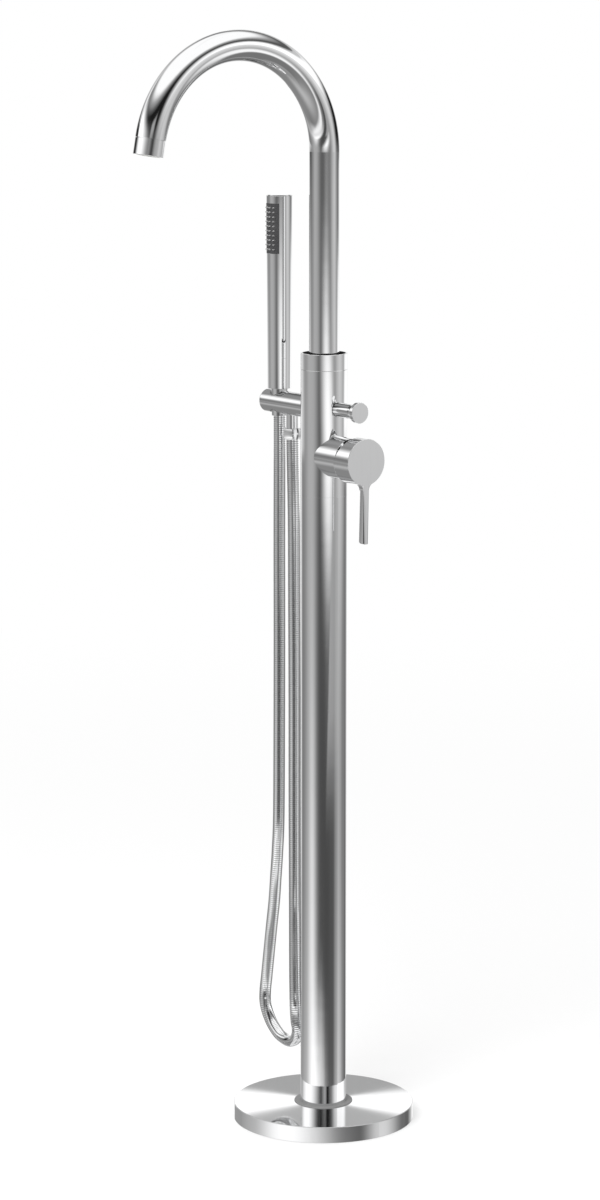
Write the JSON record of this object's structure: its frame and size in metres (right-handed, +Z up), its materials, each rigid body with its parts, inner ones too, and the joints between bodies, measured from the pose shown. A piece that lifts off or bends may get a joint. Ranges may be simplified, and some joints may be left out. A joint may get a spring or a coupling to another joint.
{
  "type": "floor standing bath filler",
  "caption": "Floor standing bath filler: round base, column, lever mixer body, swivelling hooped spout, pull diverter and a stick hand shower with hose on a side arm.",
  "frame": {"origin": "on the floor, on the column's axis, at the centre of the circle of floor bolts", "axes": "+Z up along the column; the spout reaches toward -Y, the lever and the diverter face +X, the hand shower's arm points toward -X"},
  "size_m": [0.2178, 0.347, 1.206],
  "materials": {
    "chrome": "polished chrome plate",
    "foot_ring": "matt grey",
    "brass": "turned brass",
    "steel": "plain stainless steel",
    "hose_steel": "chromed spiral hose",
    "black_rubber": "black rubber",
    "black_plastic": "matt black plastic",
    "white_plastic": "white acetal",
    "spray_plate": "matt dark grey plastic",
    "silicone": "grey silicone",
    "ceramic": "white ceramic"
  },
  "bodies": {
    "stand": {"base_cover": "chrome", "column_foot_ring": "foot_ring", "floor_flange": "brass", "inlet_block": "brass", "column_plug": "brass", "floor_gasket": "black_rubber", "column_tube": "chrome", "column_screws": "steel", "hot_riser": "brass", "cold_riser": "brass", "riser_seals": "black_rubber", "mixer_body": "chrome", "body_joint_seal": "black_rubber", "top_collar": "chrome", "spout_bush": "black_plastic", "spout_retaining_screw": "steel", "cartridge_housing": "white_plastic", "cartridge_base": "white_plastic", "cartridge_seals": "black_rubber", "fixed_disc": "ceramic", "cartridge_nut": "brass", "diverter_gland": "brass", "diverter_spring": "steel", "handset_arm": "chrome", "arm_seal": "black_rubber", "holder_liner": "black_plastic", "outlet_nipple": "chrome", "check_valve": "white_plastic", "hose_washer": "black_rubber", "hose_nut": "chrome", "shower_hose": "hose_steel"},
    "spout": {"spout_tube": "chrome", "spout_tail": "brass", "spout_seals": "black_rubber", "aerator_housing": "chrome", "aerator_washer": "black_rubber", "aerator_screen": "steel", "aerator_insert": "white_plastic"},
    "mixing_stem": {"spindle_holder": "white_plastic", "spindle_pin": "steel"},
    "flow_slider": {"disc_carrier": "white_plastic", "moving_disc": "ceramic"},
    "lever": {"lever_handle": "chrome", "lever_spindle": "brass", "lever_grub_screw": "steel"},
    "diverter": {"diverter_knob": "chrome", "diverter_spindle": "brass", "diverter_piston": "black_plastic", "diverter_seal": "black_rubber"},
    "hand_shower": {"handset_shell": "chrome", "handset_cap": "black_plastic", "spray_plate": "spray_plate", "nozzle_mat": "silicone", "handset_waterway": "white_plastic", "handset_tail": "brass", "tail_seal": "black_rubber", "cone_washer": "black_rubber", "hose_cone": "chrome"}
  },
  "joints": [
    {"name": "spout_swivel", "type": "hinge", "parent": "stand", "child": "spout", "pos_m": [0, 0, 0.83], "axis": [0, 0, 1], "continuous": true},
    {"name": "temperature_turn", "type": "hinge", "parent": "stand", "child": "mixing_stem", "pos_m": [0.04, 0, 0.7465], "axis": [1, 0, 0], "range_deg": [-50, 50]},
    {"name": "lever_tilt", "type": "hinge", "parent": "mixing_stem", "child": "lever", "pos_m": [0.04, 0, 0.7465], "axis": [0, -1, 0], "range_deg": [0, 20]},
    {"name": "disc_slide", "type": "slide", "parent": "mixing_stem", "child": "flow_slider", "axis": [0, 0, -1], "range_m": [0, 0.0046]},
    {"name": "diverter_pull", "type": "slide", "parent": "stand", "child": "diverter", "axis": [1, 0, 0], "range_m": [0, 0.012], "stiffness_N_per_m": 250, "springref_m": -0.01, "deforming": ["diverter_spring"]},
    {"name": "hand_lift", "type": "slide", "parent": "stand", "child": "hand_shower", "axis": [0, 0, 1], "range_m": [0, 0.08], "deforming": ["shower_hose"]}
  ],
  "couplings": [
    {"joint": "disc_slide", "follows": "lever_tilt", "m_per_rad": 0.013}
  ]
}
